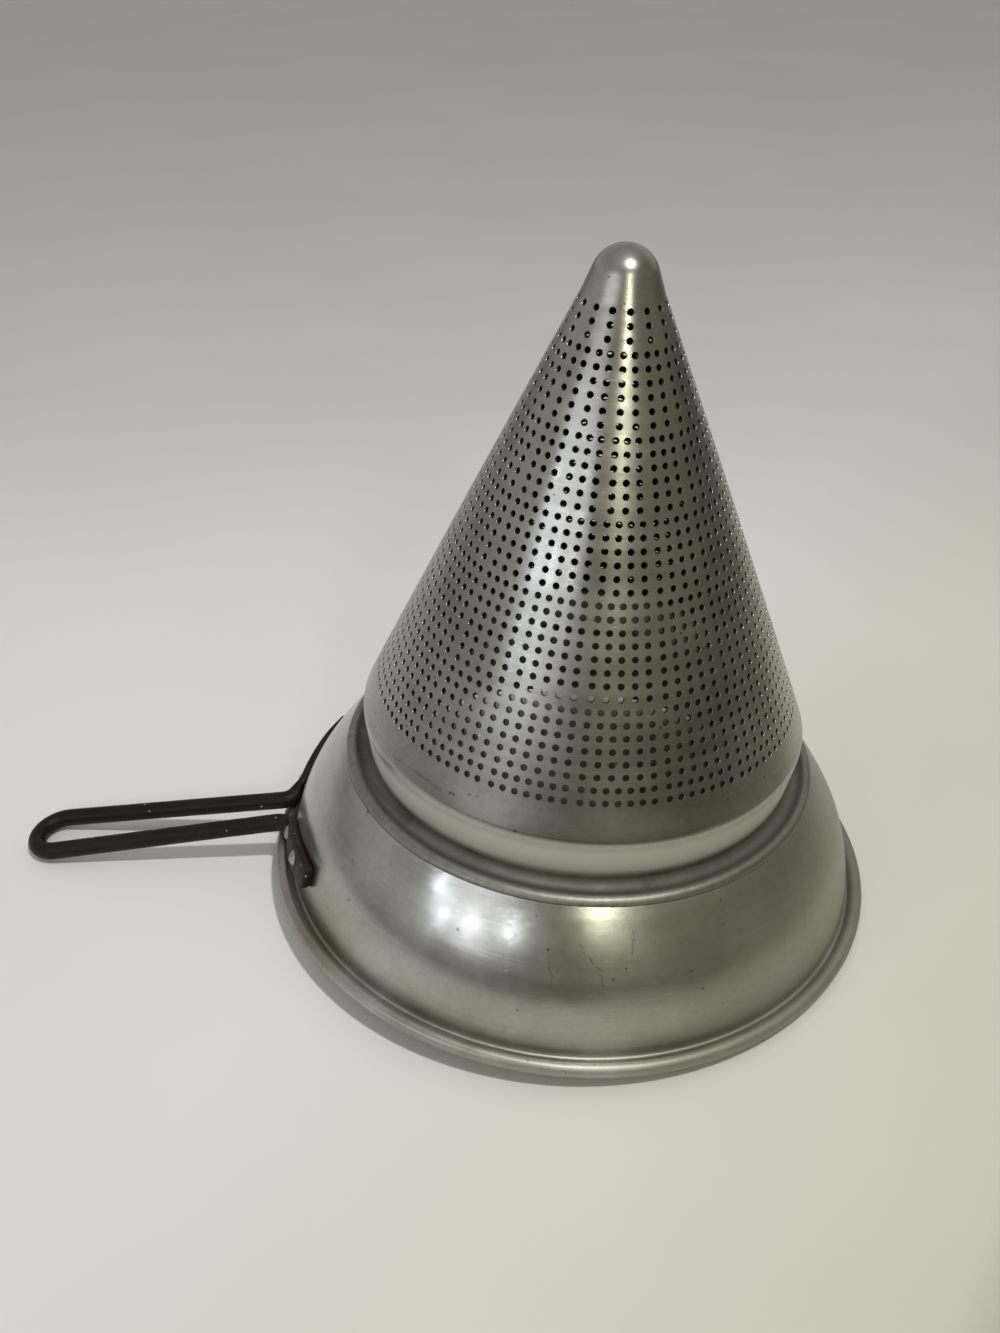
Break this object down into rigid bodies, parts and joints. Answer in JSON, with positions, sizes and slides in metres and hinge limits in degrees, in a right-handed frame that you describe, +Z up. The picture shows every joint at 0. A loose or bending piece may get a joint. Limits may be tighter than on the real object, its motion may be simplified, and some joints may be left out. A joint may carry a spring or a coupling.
{
  "type": "conical strainer",
  "caption": "Spun aluminium conical strainer with a rolled rim and a riveted iron loop handle, standing mouth down with its perforated tip up.",
  "frame": {"origin": "on the table, below the middle of the whole strainer with its handle, as it stands mouth down", "axes": "+Z up, from the mouth towards the tip; -X along the loop handle, away from the bowl; +Y across the handle, so that the picture's camera is on the -Y side"},
  "size_m": [0.369, 0.254, 0.2706],
  "materials": {
    "aluminium_cone": "worn spun",
    "aluminium_bowl": "worn spun",
    "black_iron": "blackened, slightly glossy, rusted at its edges",
    "rivet_aluminium": "peened"
  },
  "bodies": {
    "root": {"perforated_cone": "aluminium_cone", "bowl_collar": "aluminium_bowl", "loop_handle": "black_iron", "handle_rivets": "rivet_aluminium"}
  },
  "joints": []
}
